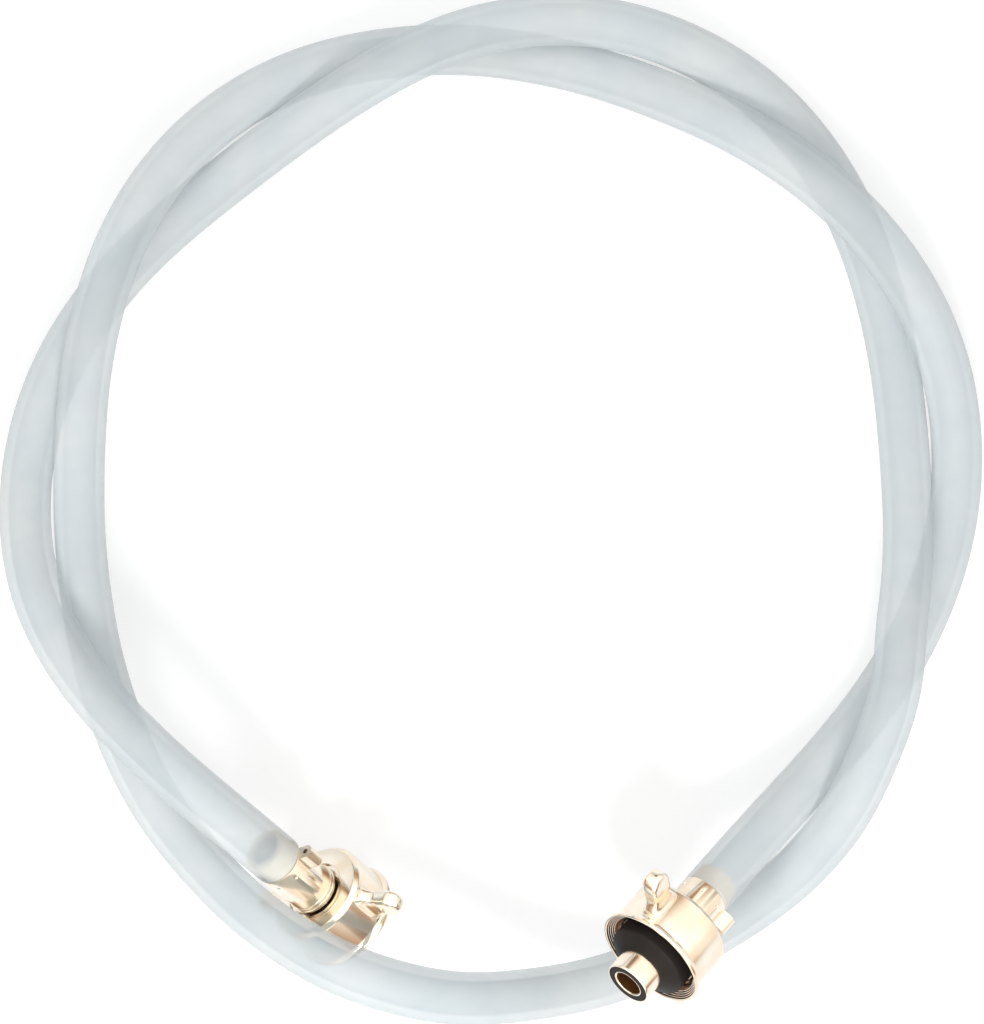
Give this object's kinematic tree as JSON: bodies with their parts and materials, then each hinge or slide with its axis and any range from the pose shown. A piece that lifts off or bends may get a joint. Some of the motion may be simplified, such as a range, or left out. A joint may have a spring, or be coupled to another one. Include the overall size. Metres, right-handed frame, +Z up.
{
  "type": "brewing hose with wing nut couplings",
  "caption": "Translucent beverage hose laid in a ring, with a hose tail, rubber cone, crimped sleeve and free-turning eared union nut on each end.",
  "frame": {"origin": "on the surface that the hose lies on, under the middle of the outer box", "axes": "+Z up, +Y away from the two couplings, across the ring, +X towards the coupling whose mouth looks up"},
  "size_m": [0.3626, 0.3736, 0.0785],
  "materials": {
    "clear_hose": "milky, smooth, softly glossy",
    "bright_metal": "polished nickel over brass",
    "black_rubber": "matt black rubber"
  },
  "bodies": {
    "hose_line": {"hose": "clear_hose", "left_tail": "bright_metal", "left_sleeve": "bright_metal", "left_gasket": "black_rubber", "left_nose_seal": "black_rubber", "right_tail": "bright_metal", "right_sleeve": "bright_metal", "right_gasket": "black_rubber", "right_nose_seal": "black_rubber"},
    "left_nut": {"left_nut": "bright_metal"},
    "right_nut": {"right_nut": "bright_metal"}
  },
  "joints": [
    {"name": "left_nut_spin", "type": "hinge", "parent": "hose_line", "child": "left_nut", "pos_m": [-0.06058, -0.14582, 0.02865], "axis": [0.5447, -0.5841, -0.6018], "continuous": true},
    {"name": "right_nut_spin", "type": "hinge", "parent": "hose_line", "child": "right_nut", "pos_m": [0.06115, -0.15401, 0.05444], "axis": [-0.6269, -0.5846, 0.515], "continuous": true}
  ]
}
